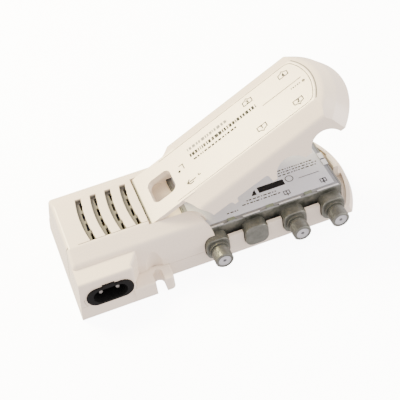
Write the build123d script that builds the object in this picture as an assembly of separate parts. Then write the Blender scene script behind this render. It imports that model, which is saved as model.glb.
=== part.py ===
from build123d import *
import os

# Television signal amplifier in an ivory moulded case. The x direction runs
# from the mains inlet end to the latch end, the outlets point to -y and +y,
# and z is up. Lengths are millimetres. While the pieces are built, x is
# counted from the inlet end; they are moved to the origin when written, which
# is the centre of the underside. The lid is drawn closed and then opened.

# Case
foot_half_width = 29.0
waist_half_width = 28.3
waist_height = 13.0
brow_half_width = 25.0
brow_drop = 3.8
crown_half_width = 16.0
case_height = 28.0
waist_radius = 8.0
brow_radius = 4.0
crown_radius = 3.0
wall = 2.0
floor_thickness = 2.4
end_lean_top = 3.4
end_edge_radius = 2.0
overrun = 20.0
fit_gap = 0.3
rest_gap = 0.2

# Seam heights
seam_height = 8.0
tab_height = 12.3
rim_height = 4.7

# Bowed latch end: the base and the lid each turn about an upright axis
base_bow_radius = 52.0
base_rim_setback = 1.5
lid_bow_radius = 38.0
lid_overhang = 6.0
nose_cheek_setback = 3.2
nose_cheek_drop = 7.5
nose_brow_setback = 7.4
nose_brow_drop = 1.4
nose_crown_setback = 11.0

# Inlet box
box_length = 30.0
box_front = 37.4
box_front_top = 35.6
box_drop = 5.5
box_sweep = 4.0
box_shelf_back = 24.0
box_round = 1.4

# Mains inlet
inlet_x = 16.6
inlet_height = 12.0
inlet_width = 23.6
inlet_depth = 14.0
inlet_face_height = 10.8
inlet_key_width = 6.0
inlet_key_height = 0.9
inlet_proud = 0.6
socket_width = 17.2
socket_height = 8.6
socket_depth = 11.5
pin_pitch = 8.6
pin_radius = 1.2
pin_recess = 2.5
cradle_rim = 1.3
lead_radius = 0.8
lead_bend = 2.5
lead_run = 4.0

# Screw lug and its channel in the cover
lug_end = 48.6
lug_height = 8.5
lug_round = 2.4
lug_edge = 0.8
slot_x = 41.5
slot_width = 4.9
slot_round_y = 31.8
channel_radius = 6.0
channel_y = 32.6

# Vents
vent_first_x = 15.8
vent_pitch = 7.8
vent_count = 4
vent_half_length = 14.7
vent_width = 3.2
vent_depth = 2.3
vent_pad = 1.6
vent_sagitta = 1.3
vent_hole_width = 1.2
vent_hole_length = 5.4
vent_hole_count = 4

# Hinge and the seam beside it
hinge_x = 49.2
hinge_drop = 2.4
hinge_pin_radius = 1.0
hinge_running_gap = 0.05
hinge_reach = 1.6
swing_radius = 4.4
knuckle_radius = 2.4
seam_x = 46.4
seam_apex = 1.3
seam_gap = 0.55
plate_half_width = 16.6
cheek_gap = 0.4
lid_wall = 1.6
plate_thickness = 2.2
lid_open_angle = 26.8

# Cheeks
cheek_centre_x = 61.0
cheek_centre_height = 15.3
cheek_end_x = 74.0
deck_height = 16.2
deck_thickness = 1.6
deck_hole_gap = 0.5

# Lid
lid_skirt_height = 12.6
arch_radius = 8.8
arch_height = 18.7
arch_shift = 2.0
high_edge_height = 17.5
high_edge_round = 1.5
tongue_width = 2.0
dip_height = 15.4
dip_place_share = 0.6
dip_width = 2.4
window_start = 53.0
window_end = 67.0
window_half_width = 7.7
window_radius = 3.6
window_wall_height = 3.4
window_wall = 1.4
field_start = 64.0
field_half_width = 15.3
field_inset = 0.8
field_round = 5.0
groove_width = 0.4
groove_depth = 0.3
lid_rib_back = 24.0
lid_rib_height = 3.0
lid_rib_half_length = 17.0

# Connectors along the chassis
connector_first_x = 74.3
connector_pitch = 20.7
connector_height = 9.2
barrel_radius = 4.7
barrel_tip = 39.5
barrel_start = 33.2
barrel_chamfer = 0.5
neck_radius = 4.2
collar_radius = 5.1
collar_end = 32.0
barrel_bore_radius = 3.4
boss_width = 12.4
boss_height = 12.8
boss_corner_radius = 4.2
boss_face = 30.6
boss_gap = 0.3
connector_kinds = ("front", "blank", "both", "both")

# Connector cores
insulator_recess = 0.4
insulator_fit = 0.02
socket_hole_radius = 0.95
socket_hole_depth = 3.0
contact_radius = 0.5
contact_reach = 4.0

# Chassis
chassis_lead = 10.3
chassis_tail = 7.2
latch_space = 12.4
chassis_half_width = 24.6
chassis_height = 18.8
chassis_wall = 1.6
chassis_floor = 1.4
chassis_edge = 0.6
rim_ledge = 0.8
rim_step = 0.6
shield_thickness = 0.8
stake_length = 4.0
stake_overlap = 0.9
stake_end_ys = (-1.8, -6.9)
ridge_half_length = 5.8
blank_ridge_half_length = 4.5
ridge_inset = 0.1
label_margin = 2.7
label_thickness = 0.15

# Amplifier board
board_thickness = 1.6
board_margin = 0.5
post_radius = 2.8
post_inset = 6.0
tongue_reach = 7.6
tongue_half_width = 6.0

# Gain control
gain_lead = 4.0
gain_width = 8.0
gain_height = 6.4
gain_bevel = 0.7
rotor_radius = 3.0
rotor_thickness = 1.6
rotor_shaft_radius = 1.2
rotor_shaft_length = 3.0
rotor_running_gap = 0.05
rotor_slot_width = 0.7
rotor_slot_depth = 0.8
rotor_lift = 0.3

# Pieces on the amplifier board
chip_size = (14.0, 10.0, 2.6)
chip_place = 28.0
choke_place = 10.0
choke_drum_share = 0.8
choke_radius = 4.2
choke_height = 6.0
choke_flange = 0.8
core_length = 7.0
core_width = 5.0
core_height = 4.0
core_bore_radius = 0.8
core_bore_pitch = 2.6
core_places = (42.0, 53.0, 64.0)
core_round_share = 0.17
chip_capacitor_size = (3.2, 1.6, 1.3)
chip_capacitor_places = (20.0, 36.0, 47.5, 58.5)
chip_capacitor_y = 9.0

# Power board
power_board_start = 5.0
power_board_end = 50.0
power_board_half_width = 21.0
power_board_lift = 5.6
fuse_x = 8.4
fuse_y = -8.0
fuse_radius = 2.5
fuse_length = 14.0
fuse_cap_length = 3.0
fuse_glass_share = 0.9
suppressor_size = (6.0, 15.0, 11.0)
suppressor_round = 0.8
suppressor_x = 27.0
suppressor_y = -12.5
bridge_size = (8.0, 8.0, 3.0)
bridge_bevel = 1.6
bridge_x = 36.5
bridge_y = -14.5
bulk_x = 16.5
bulk_y = 2.0
bulk_radius = 5.0
bulk_headroom = 2.8
control_chip_size = (9.5, 6.4, 3.4)
control_chip_x = 14.0
control_chip_y = 15.0
transformer_x = 34.5
transformer_y = 4.0
transformer_length = 14.0
transformer_width = 16.0
transformer_headroom = 2.4
transformer_core = 3.4
transformer_flange = 1.2
transformer_gap = 0.3
winding_inset = 1.0
transformer_stand = 0.8
output_xs = (24.0, 33.0)
output_y = 16.8
output_radius = 3.2
output_headroom = 7.8
sleeve_groove = 0.4

# Lead to the chassis
dc_board_x = 46.5
dc_lead_y = 14.0
dc_lead_height = 12.5
dc_lead_radius = 0.9
dc_lead_bend = 2.4
feed_radius = 2.2
feed_length = 2.6

# Screws
screw_seat = 1.3
screw_head_radius = 2.4
screw_head_height = 1.1
screw_radius = 1.25
screw_clearance = 0.05
screw_recess_gap = 0.3
cover_screw_length = 16.0
chassis_screw_length = 4.6
screw_slot_width = 0.6
screw_slot_depth = 0.5
cover_post_radius = 3.2
cover_post_places = ((7.0, 23.0), (44.0, 23.0), (52.0, -22.5))

# Latch block
latch_width = 10.0
latch_thickness = 2.6
latch_round = 0.9
latch_height = 10.4
latch_setback = 1.7
catch_drop = 3.0
catch_thickness = 1.2

connector_xs = [
    connector_first_x + connector_pitch * i for i in range(len(connector_kinds))
]
chassis_start = connector_first_x - chassis_lead
chassis_end = connector_xs[-1] + chassis_tail
case_length = chassis_end + latch_space
origin_x = case_length / 2
lid_nose = case_length + lid_overhang
lid_rib_x = case_length - lid_rib_back
brow_height = case_height - brow_drop
nose_cheek_height = case_height - nose_cheek_drop
nose_brow_height = case_height - nose_brow_drop
box_height = case_height - box_drop
cheek_radius = case_height + fit_gap - cheek_centre_height
hinge_height = case_height - hinge_drop
inner_front = foot_half_width - wall
gain_x = chassis_start - gain_lead
notch_half_width = boss_width / 2 + boss_gap
chassis_base = floor_thickness
chassis_inside = chassis_base + chassis_floor
board_top = connector_height - contact_radius
shield_base = chassis_height - rim_step - shield_thickness
power_board_top = power_board_lift + board_thickness
headroom = case_height - wall - power_board_top
bulk_height = headroom - bulk_headroom
output_height = headroom - output_headroom
transformer_height = headroom - transformer_stand - transformer_headroom
tongue_start = chassis_start - tongue_reach
UPRIGHT = (Align.CENTER, Align.CENTER, Align.MIN)


def block(x0, x1, y0, y1, z0, z1):
    """A plain box between three pairs of limits."""
    solid = Box(x1 - x0, y1 - y0, z1 - z0, align=(Align.MIN, Align.MIN, Align.MIN))
    return Pos(x0, y0, z0) * solid


def post(x, y, z0, z1, radius):
    """An upright round post between two heights."""
    return Pos(x, y, z0) * Cylinder(radius, z1 - z0, align=UPRIGHT)


def rod(x, z, y0, y1, radius):
    """A round rod along y between two limits."""
    lying = Rot(-90, 0, 0) * Cylinder(radius, y1 - y0, align=UPRIGHT)
    return Pos(x, y0, z) * lying


def side_plate(outline, y0, y1):
    """An outline drawn in x and z, made solid between two places in y."""
    face = Plane(origin=(0, y1, 0), x_dir=(1, 0, 0), z_dir=(0, -1, 0)) * outline
    return extrude(face, amount=y1 - y0)


def plan_plate(outline, z0, z1):
    """An outline drawn in x and y, made solid between two heights."""
    return extrude(Pos(0, 0, z0) * outline, amount=z1 - z0)


def section(inset):
    """The case's cross-section, drawn in y and z, moved inward by a wall."""
    points = [
        (-foot_half_width, 0),
        (foot_half_width, 0),
        (waist_half_width, waist_height),
        (brow_half_width, brow_height),
        (crown_half_width, case_height),
        (-crown_half_width, case_height),
        (-brow_half_width, brow_height),
        (-waist_half_width, waist_height),
    ]
    face = make_face(Polyline(*points, close=True))
    for height, radius in (
        (waist_height, waist_radius),
        (brow_height, brow_radius),
        (case_height, crown_radius),
    ):
        corners = [v for v in face.vertices() if abs(v.Y - height) < fit_gap]
        face = fillet(corners, radius)
    if inset:
        face = offset(face, -inset)
    return face


def long_body(inset, x0, x1):
    """The cross-section run along the case between two places."""
    plane = Plane(origin=(x0, 0, 0), x_dir=(0, 1, 0), z_dir=(1, 0, 0))
    return extrude(plane * section(inset), amount=x1 - x0)


def end_plane_cut(inset):
    """What lies outside the leaning inlet end."""
    outline = Polyline(
        (inset, -overrun),
        (inset - end_lean_top * overrun / case_height, -overrun),
        (-overrun, -overrun),
        (-overrun, case_height + overrun),
        (inset + end_lean_top * (case_height + overrun) / case_height, case_height + overrun),
        (inset, 0),
        close=True,
    )
    wide = box_front + overrun
    return side_plate(make_face(outline), -wide, wide)


def base_former(inset):
    """The bowed latch end of the base, turned about an upright axis."""
    foot = base_bow_radius + base_rim_setback - inset
    rim = base_bow_radius - inset
    centre = case_length - base_bow_radius - base_rim_setback
    profile = Polyline(
        (0, 0), (foot, 0), (rim, rim_height), (rim, case_height), (0, case_height), close=True
    )
    face = Plane.XZ * make_face(profile)
    turned = revolve(face, Axis.Z)
    return Pos(centre, 0, 0) * turned + block(
        -overrun, centre, -overrun - box_front, overrun + box_front, 0, case_height
    )


def lid_former(inset):
    """The rounded nose of the lid, turned about an upright axis."""
    edge = lid_bow_radius - inset
    centre = lid_nose - lid_bow_radius
    top = case_height
    profile = Polyline(
        (0, 0),
        (edge, 0),
        (edge, lid_skirt_height),
        (edge - nose_cheek_setback, nose_cheek_height),
        (edge - nose_brow_setback, nose_brow_height),
        (edge - nose_crown_setback, top),
        (0, top),
        close=True,
    )
    face = make_face(profile)
    for height in (nose_brow_height, nose_cheek_height):
        corners = [v for v in face.vertices() if abs(v.Y - height) < fit_gap and v.X > fit_gap]
        face = fillet(corners, brow_radius)
    turned = revolve(Plane.XZ * face, Axis.Z)
    return Pos(centre, 0, 0) * turned + block(
        -overrun, centre, -overrun - box_front, overrun + box_front, 0, case_height
    )


def inlet_box(inset):
    """The box on the front side around the mains inlet, moved inward by a wall."""
    front = box_front - inset
    side = Polyline(
        (-front, -overrun if inset else 0),
        (-(box_front_top - inset), box_height - inset),
        (-box_shelf_back + inset, box_height - inset),
        (-box_shelf_back + inset, -overrun if inset else 0),
        close=True,
    )
    plane = Plane(origin=(-overrun, 0, 0), x_dir=(0, 1, 0), z_dir=(1, 0, 0))
    long_box = extrude(plane * make_face(side), amount=box_length + box_sweep + overrun)
    end = box_length - inset
    plan = Polyline(
        (-overrun, 0),
        (-overrun, -box_front - overrun),
        (end, -box_front - overrun),
        (end, -(box_front + foot_half_width) / 2),
        (end + box_sweep, -foot_half_width + wall),
        (end + box_sweep, 0),
        close=True,
    )
    solid = long_box & plan_plate(make_face(plan), -overrun, case_height)
    if inset:
        return solid
    edges = [e for e in solid.edges() if e.center().Y < -box_shelf_back - wall]
    edges = [e for e in edges if e.center().X > 0 and e.center().Z > wall]
    return fillet(edges, box_round)


def inlet_outline(grow):
    """The outline of the mains inlet's face, drawn in x and z."""
    height = inlet_face_height + grow * 2
    face = SlotOverall(inlet_width + grow * 2, height)
    key_height = height / 2 + inlet_key_height
    key = Rectangle(inlet_key_width + grow * 2, key_height, align=(Align.CENTER, Align.MIN))
    return Pos(inlet_x, inlet_height) * (face + key)


def boss_outline(grow):
    """The outline of a cast connector boss, drawn around its axis."""
    return RectangleRounded(
        boss_width + grow * 2, boss_height + grow * 2, boss_corner_radius + grow
    )


def notches(y0, y1):
    """The U-shaped notches that the connector bosses lie in, open at the top."""
    cut = Part()
    for x in connector_xs:
        around = side_plate(Pos(x, connector_height) * boss_outline(boss_gap), y0, y1)
        above = block(
            x - notch_half_width, x + notch_half_width, y0, y1, connector_height, case_height
        )
        cut += around + above
    return cut


def screw_passage(x, y):
    """The hole and head recess for a screw that enters from below."""
    hole = post(x, y, -overrun, overrun, screw_radius + screw_recess_gap)
    head = post(x, y, -overrun, screw_seat, screw_head_radius + screw_recess_gap)
    return hole + head


def chassis_posts():
    """Places of the posts that carry the amplifier board."""
    x0 = chassis_start + post_inset
    x1 = chassis_end - post_inset
    y = chassis_half_width - post_inset
    return [(x0, -y), (x0, y), (x1, -y), (x1, y)]


def chassis_screw_places():
    """Two of the board's posts, on a diagonal, also take a screw from below."""
    places = chassis_posts()
    return [places[0], places[3]]


def make_base_shell():
    """The tray with its notched walls, screw lug, posts and latch block."""
    outer = long_body(0, -overrun, case_length + overrun) & base_former(0)
    outer += inlet_box(0) & block(-overrun, lug_end, -overrun * 3, 0, 0, case_height)
    outer -= end_plane_cut(0)
    inner = long_body(wall, -overrun, case_length + overrun) & base_former(wall)
    inner += inlet_box(wall)
    inner -= end_plane_cut(wall)
    inner &= block(-overrun, case_length, -overrun * 3, overrun * 3, floor_thickness, case_height)
    slot = block(
        slot_x - slot_width / 2, slot_x + slot_width / 2, -box_front - overrun,
        -slot_round_y, -overrun, case_height
    )
    slot += post(slot_x, -slot_round_y, -overrun, case_height, slot_width / 2)
    first = connector_xs[0] - notch_half_width
    last = connector_xs[-1] + notch_half_width
    wide = box_front + overrun
    top_cut = block(-overrun, first, -wide, wide, seam_height, case_height)
    top_cut += block(first, last, -wide, wide, tab_height, case_height)
    top_cut += block(last, case_length, -wide, wide, rim_height, case_height)
    cradle = side_plate(inlet_outline(cradle_rim), -box_front, -box_front + wall * 2)
    cradle &= block(-overrun, box_length, -wide, 0, 0, tab_height)
    cradle &= inlet_box(0)
    shell = outer - inner - top_cut
    shell += cradle + lug(0)
    shell -= slot
    shell -= notches(-wide, -inner_front + wall * 2)
    shell -= notches(inner_front - wall * 2, wide)
    shell -= side_plate(inlet_outline(rest_gap), -wide, -box_front + inlet_depth)
    for x, y in cover_post_places:
        shell += post(x, y, 0, seam_height, cover_post_radius)
    for x, y in board_supports():
        shell += post(x, y, 0, power_board_lift, post_radius)
    for x, y in list(cover_post_places) + chassis_screw_places():
        shell -= screw_passage(x, y)
    shell += latch_block()
    return shell


def lug(grow):
    """The block beside the inlet box that takes the wall screw."""
    solid = block(
        box_length - wall - grow, lug_end + grow, -box_front - grow, -inner_front, 0,
        lug_height + grow
    )
    if grow:
        return solid
    corner = solid.edges().filter_by(Axis.Z).group_by(Axis.X)[-1].sort_by(Axis.Y)[0]
    solid = fillet(corner, lug_round)
    edges = [e for e in solid.edges().group_by(Axis.Z)[-1] if e.center().Y < -inner_front - wall]
    edges = [e for e in edges if e.center().X > box_length]
    return fillet(edges, lug_edge)


def board_supports():
    """Places of the supports under the power board."""
    x0 = power_board_start + post_inset / 2
    x1 = power_board_end - post_inset / 2
    y = power_board_half_width - post_inset
    return [(x0, y), (x1, y / 2), (x1, -y), (x0, -y / 2)]


def latch_block():
    """The block inside the latch end that the lid's catch presses on."""
    back = case_length - base_rim_setback - wall - latch_setback
    body = block(
        back - latch_thickness, back, -latch_width / 2, latch_width / 2, 0, latch_height
    )
    web = block(
        back, back + latch_setback + wall / 2, -latch_width / 2, latch_width / 2, 0, rim_height
    )
    edges = body.edges().filter_by(Axis.Y).group_by(Axis.Z)[-1]
    return fillet(edges, latch_round) + web


def seam_outline(shift):
    """What lies on the lid's side of the arched seam, drawn in plan."""
    side = crown_half_width + wall * 2
    rise = seam_apex * (side / crown_half_width) ** 2
    apex = seam_x - seam_apex + shift
    arc = ThreePointArc((apex + rise, -side), (apex, 0), (apex + rise, side))
    far = Polyline((apex + rise, side), (case_length + overrun, side),
                   (case_length + overrun, -side), (apex + rise, -side))
    return make_face(arc + far)


def cheek_zone(grow, y0, y1):
    """The cover's share of the side view: the stretch up to the cheeks' round ends."""
    disc = Pos(cheek_centre_x, cheek_centre_height) * Circle(cheek_radius + grow)
    back = Polyline(
        (-overrun, 0),
        (cheek_end_x + grow, 0),
        (cheek_end_x + grow, cheek_centre_height),
        (cheek_centre_x, cheek_centre_height),
        (cheek_centre_x, case_height + overrun),
        (-overrun, case_height + overrun),
        close=True,
    )
    return side_plate(disc + make_face(back), y0, y1)


def vents():
    """The arched vent slots, each with a row of through holes on its far side."""
    cut = Part()
    for i in range(vent_count):
        x = vent_first_x + vent_pitch * i
        half = vent_half_length
        spine = ThreePointArc((x + vent_sagitta, -half), (x, 0), (x + vent_sagitta, half))
        back = Pos(-vent_width / 2, 0, 0) * spine
        front = Pos(vent_width / 2, 0, 0) * spine
        ends = Line(back @ 0, front @ 0) + Line(back @ 1, front @ 1)
        face = make_face(back + front + ends)
        cut += plan_plate(face, case_height - vent_depth, case_height + overrun)
        step = half * 2 / vent_hole_count
        for k in range(vent_hole_count):
            y = -half + step * (k + 1 / 2)
            bow = vent_sagitta * (y / half) ** 2
            hole_x = x + bow + (vent_width - vent_hole_width) / 2
            cut += block(
                hole_x - vent_hole_width / 2, hole_x + vent_hole_width / 2,
                y - vent_hole_length / 2, y + vent_hole_length / 2,
                case_height - wall - vent_pad - fit_gap, case_height
            )
    return cut


def vent_line():
    """The fine groove that joins the vents' near ends."""
    x0 = vent_first_x - vent_width * 2
    y1 = -vent_half_length
    return block(x0, seam_x, y1 - groove_width, y1, case_height - groove_depth,
                 case_height + overrun)


def vent_pads():
    """The thicker stretch of the cover's top that the vents are sunk into."""
    x0 = vent_first_x - vent_width
    x1 = vent_first_x + vent_pitch * (vent_count - 1) + vent_sagitta + vent_width / 2
    half = vent_half_length + wall / 2
    top = case_height - wall / 2
    return block(x0, x1, -half, half, case_height - wall - vent_pad, top)


def make_power_cover():
    """The shell over the mains section, with the cheeks that carry the lid."""
    wide = box_front + overrun
    outer = long_body(0, -overrun, cheek_end_x) & cheek_zone(0, -wide, wide)
    outer -= end_plane_cut(0)
    end_edges = [e for e in outer.edges() if e.center().X < end_lean_top + fit_gap]
    end_edges = [e for e in end_edges if e.center().Z > fit_gap]
    outer = fillet(end_edges, end_edge_radius)
    outer += (inlet_box(0) - end_plane_cut(0)) & block(
        -overrun, box_length + box_sweep, -wide, -crown_half_width, 0, case_height
    )
    inner = long_body(wall, -overrun, case_length)
    inner += inlet_box(wall)
    inner -= end_plane_cut(wall)
    shell = outer - inner
    shell -= plan_plate(seam_outline(0), -overrun, case_height + overrun) & block(
        0, case_length, -plate_half_width - cheek_gap, plate_half_width + cheek_gap,
        -overrun, case_height + overrun
    )
    shell += cheek_walls() & outer
    shell += partition() & outer
    shell += deck()
    shell += vent_pads()
    channel = post(slot_x, -channel_y, 0, case_height, channel_radius + wall)
    shell += channel & long_body(wall / 2, 0, cheek_end_x)
    shell -= post(slot_x, -channel_y, -overrun, case_height + overrun, channel_radius)
    for x, y in cover_post_places:
        shell += post(x, y, seam_height, case_height, cover_post_radius) & outer
    shell -= block(-overrun, case_length, -wide, wide, -overrun, seam_height + rest_gap)
    for x, y in cover_post_places:
        shell += post(x, y, seam_height, seam_height + rest_gap, cover_post_radius)
        shell -= post(
            x, y, 0, screw_seat + cover_screw_length + fit_gap, screw_radius + screw_clearance
        )
    shell -= rod(hinge_x, hinge_height, -plate_half_width - cheek_gap - hinge_reach,
                 plate_half_width + cheek_gap + hinge_reach, hinge_pin_radius)
    shell -= rod(hinge_x, hinge_height, -plate_half_width - cheek_gap,
                 plate_half_width + cheek_gap, swing_radius + fit_gap)
    shell -= side_plate(
        Pos(connector_xs[0], connector_height) * boss_outline(boss_gap), -wide, wide
    )
    shell -= block(chassis_start - fit_gap, case_length, -chassis_half_width - fit_gap,
                   chassis_half_width + fit_gap, 0, chassis_height + fit_gap)
    cradle = side_plate(inlet_outline(cradle_rim + rest_gap), -wide, -box_front + wall * 2)
    shell -= cradle & block(-overrun, box_length, -wide, 0, 0, tab_height + rest_gap)
    shell -= lug(rest_gap)
    shell -= side_plate(inlet_outline(rest_gap), -wide, -box_front + inlet_depth)
    shell -= vents() + vent_line()
    return shell


def cheek_walls():
    """The upright inner wall of each cheek, which holds an end of the hinge pin."""
    inside = plate_half_width + cheek_gap
    both = Part()
    for side in (-1, 1):
        y0 = min(side * inside, side * (inside + wall))
        y1 = max(side * inside, side * (inside + wall))
        both += block(seam_x - wall, cheek_end_x, y0, y1, cheek_centre_height, case_height)
    return both & cheek_zone(0, -overrun * 2, overrun * 2)


def partition():
    """The cross wall that closes the mains section under the seam."""
    x1 = hinge_x - swing_radius - fit_gap
    return block(x1 - wall, x1, -foot_half_width, foot_half_width, cheek_centre_height,
                 case_height)


def deck():
    """The level floor between the cheeks, with a round hole over the gain control."""
    side = plate_half_width + cheek_gap + wall / 2
    x0 = hinge_x - swing_radius - fit_gap - wall
    top = deck_height + deck_thickness
    floor = block(x0, chassis_start - fit_gap, -side, side, deck_height, top)
    return floor - post(gain_x, 0, 0, case_height, rotor_radius + deck_hole_gap)


def make_lid():
    """The lid, drawn closed: a narrow plate, then the full width with skirts."""
    wide = box_front + overrun
    outer = long_body(0, 0, lid_nose) & lid_former(0)
    inner = long_body(lid_wall, 0, lid_nose) & lid_former(lid_wall)
    inner &= block(0, lid_nose, -wide, wide, 0, case_height - plate_thickness)
    lid = outer - inner
    lid -= cheek_zone(seam_gap, -wide, wide)
    narrow = plate_half_width
    plate = plan_plate(seam_outline(seam_gap), case_height - plate_thickness, case_height)
    plate &= block(0, cheek_centre_x + cheek_radius, -narrow, narrow, 0, case_height)
    lid += plate
    knuckle = rod(hinge_x, hinge_height, -narrow, narrow, knuckle_radius)
    lid += knuckle
    web = block(hinge_x, hinge_x + knuckle_radius, -narrow, narrow, hinge_height, case_height)
    lid += web
    lid -= block(0, lid_nose, -wide, wide, -overrun, lid_skirt_height)
    window = Pos((window_start + window_end) / 2, 0) * RectangleRounded(
        window_end - window_start, window_half_width * 2, window_radius
    )
    rim = offset(window, window_wall)
    lid += plan_plate(rim, case_height - window_wall_height, case_height)
    lid -= plan_plate(window, 0, case_height + overrun)
    rib = block(lid_rib_x, lid_rib_x + window_wall, -lid_rib_half_length, lid_rib_half_length,
                case_height - plate_thickness - lid_rib_height,
                case_height - plate_thickness / 2)
    lid += rib
    lid -= field_groove()
    lid -= arches()
    lid -= rod(hinge_x, hinge_height, -wide, wide, hinge_pin_radius + hinge_running_gap)
    swing = rod(hinge_x, hinge_height, -wide, wide, swing_radius)
    tail = block(0, hinge_x, -wide, wide, 0, case_height + overrun)
    lid -= tail - swing
    return lid + catch()


def field_groove():
    """The fine groove that frames the flat field on the lid, open towards the hinge."""
    centre = lid_nose - lid_bow_radius
    radius = lid_bow_radius - nose_crown_setback - field_inset
    length = centre + radius
    field = Pos(length / 2, 0) * Rectangle(length, field_half_width * 2)
    field &= Pos(centre, 0) * Circle(radius) + Pos(centre / 2, 0) * Rectangle(
        centre, field_half_width * 2
    )
    corners = field.vertices().group_by(Axis.X)[-1]
    field = fillet(corners, field_round)
    ring = field - offset(field, -groove_width)
    top = case_height + overrun
    groove = plan_plate(ring, case_height - groove_depth, top)
    return groove & block(field_start, lid_nose, -foot_half_width, foot_half_width, 0, top)


def arches():
    """The cuts in the skirts: a raised edge, then an arch over each end connector."""
    wide = box_front + overrun
    first, second, third, last = connector_xs
    side_view = Sketch()
    for x in (third, last):
        centre = x + arch_shift
        side_view += Pos(centre, arch_height - arch_radius) * Circle(arch_radius)
        foot = Rectangle(arch_radius * 2, (arch_height - arch_radius) * 2)
        side_view += Pos(centre, 0) * foot
    dip = first + (second - first) * dip_place_share
    end = third + arch_shift - arch_radius - tongue_width
    for x0, x1 in ((hinge_x, dip - dip_width / 2), (dip + dip_width / 2, end)):
        opening = RectangleRounded(x1 - x0, high_edge_height * 2, high_edge_round)
        side_view += Pos((x0 + x1) / 2, 0) * opening
    side_view += Pos(dip, 0) * Rectangle(dip_width + high_edge_round, dip_height * 2)
    return side_plate(side_view, -wide, wide)


def catch():
    """The tongue inside the lid's nose that presses behind the latch block."""
    back = case_length - base_rim_setback - wall - latch_setback
    x1 = back - latch_thickness - fit_gap
    return block(x1 - catch_thickness, x1, -latch_width / 2, latch_width / 2,
                 latch_height - catch_drop, case_height - plate_thickness / 2)


def opened(solid):
    """The closed lid turned about its hinge into the open position."""
    axis = Axis((hinge_x, 0, hinge_height), (0, -1, 0))
    return solid.rotate(axis, lid_open_angle)


def make_hinge_pin():
    """The steel pin, held in both cheeks, that the lid turns on."""
    reach = plate_half_width + cheek_gap + hinge_reach
    return rod(hinge_x, hinge_height, -reach, reach, hinge_pin_radius)


def make_mains_inlet():
    """The black inlet body with its socket."""
    front = -box_front - inlet_proud + inlet_front_offset()
    body = side_plate(inlet_outline(0), front, front + inlet_depth)
    socket = Pos(inlet_x, inlet_height) * SlotOverall(socket_width, socket_height)
    body -= side_plate(socket, front - overrun, front + socket_depth)
    for x in pin_places():
        body -= rod(x, inlet_height, front, front + inlet_depth + overrun, pin_radius)
    return body


def inlet_front_offset():
    """How far the leaning front wall stands back at the inlet's height."""
    return (box_front - box_front_top) * inlet_height / box_height


def pin_places():
    """The two pins' places in x."""
    return [inlet_x - pin_pitch / 2, inlet_x + pin_pitch / 2]


def inlet_back():
    """Where the inlet's back face stands in y."""
    return -box_front - inlet_proud + inlet_front_offset() + inlet_depth


def make_inlet_pins():
    """The two round contact pins, which end in tails behind the inlet."""
    front = inlet_back() - inlet_depth
    pins = Part()
    for x in pin_places():
        pin = rod(x, inlet_height, front + pin_recess, inlet_back() + pin_radius * 2, pin_radius)
        tip = pin.edges().group_by(Axis.Y)[0]
        pins += fillet(tip, pin_radius / 2)
    return pins


def bent_lead(points, bend, radius):
    """A round lead along straight runs joined by arcs."""
    path = FilletPolyline(*points, radius=bend)
    start = Plane(origin=path @ 0, z_dir=path % 0)
    return sweep(start * Circle(radius), path=path)


def make_inlet_leads():
    """Two leads from the pins' tails down to the power board."""
    leads = Part()
    tail = inlet_back() + pin_radius * 2
    for x in pin_places():
        points = [
            (x, tail, inlet_height),
            (x, tail + lead_run, inlet_height),
            (x, tail + lead_run, power_board_top),
        ]
        leads += bent_lead(points, lead_bend, lead_radius)
    return leads


def make_power_board():
    """The board of the mains section, trimmed around the cover's posts."""
    half = power_board_half_width
    board = block(
        power_board_start, power_board_end, -half, half, power_board_lift, power_board_top
    )
    for x, y in cover_post_places:
        board -= post(x, y, 0, case_height, cover_post_radius + fit_gap)
    return board


def make_fuse_glass():
    """The glass body of the fuse."""
    return rod(fuse_x, power_board_top + fuse_radius, fuse_y - fuse_length / 2 + fuse_cap_length,
               fuse_y + fuse_length / 2 - fuse_cap_length, fuse_radius * fuse_glass_share)


def make_fuse_caps():
    """The two metal caps of the fuse."""
    z = power_board_top + fuse_radius
    y0 = fuse_y - fuse_length / 2
    y1 = fuse_y + fuse_length / 2
    near = rod(fuse_x, z, y0, y0 + fuse_cap_length, fuse_radius)
    far = rod(fuse_x, z, y1 - fuse_cap_length, y1, fuse_radius)
    return near + far


def on_board(size, x, y, z):
    """A block of a given size that stands on a board."""
    return Pos(x, y, z) * Box(*size, align=UPRIGHT)


def make_suppressor():
    """The boxed suppression capacitor."""
    body = on_board(suppressor_size, suppressor_x, suppressor_y, power_board_top)
    return fillet(body.edges().group_by(Axis.Z)[-1], suppressor_round)


def make_bridge():
    """The bridge rectifier, with one bevelled corner."""
    body = on_board(bridge_size, bridge_x, bridge_y, power_board_top)
    corner = body.edges().filter_by(Axis.Z).sort_by(Axis.X)[-1]
    return chamfer(corner, bridge_bevel)


def can_capacitor(x, y, radius, height):
    """A round capacitor in a sleeve with its groove near the foot."""
    can = post(x, y, power_board_top, power_board_top + height, radius)
    can = fillet(can.edges().group_by(Axis.Z)[-1], sleeve_groove)
    groove_z = power_board_top + sleeve_groove * 3
    ring = post(x, y, groove_z, groove_z + sleeve_groove * 2, radius + sleeve_groove)
    ring -= post(x, y, groove_z, groove_z + sleeve_groove * 2, radius - sleeve_groove)
    return can - ring


def make_output_capacitors():
    """The two capacitors at the low-voltage side."""
    both = Part()
    for x in output_xs:
        both += can_capacitor(x, output_y, output_radius, output_height)
    return both


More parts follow.
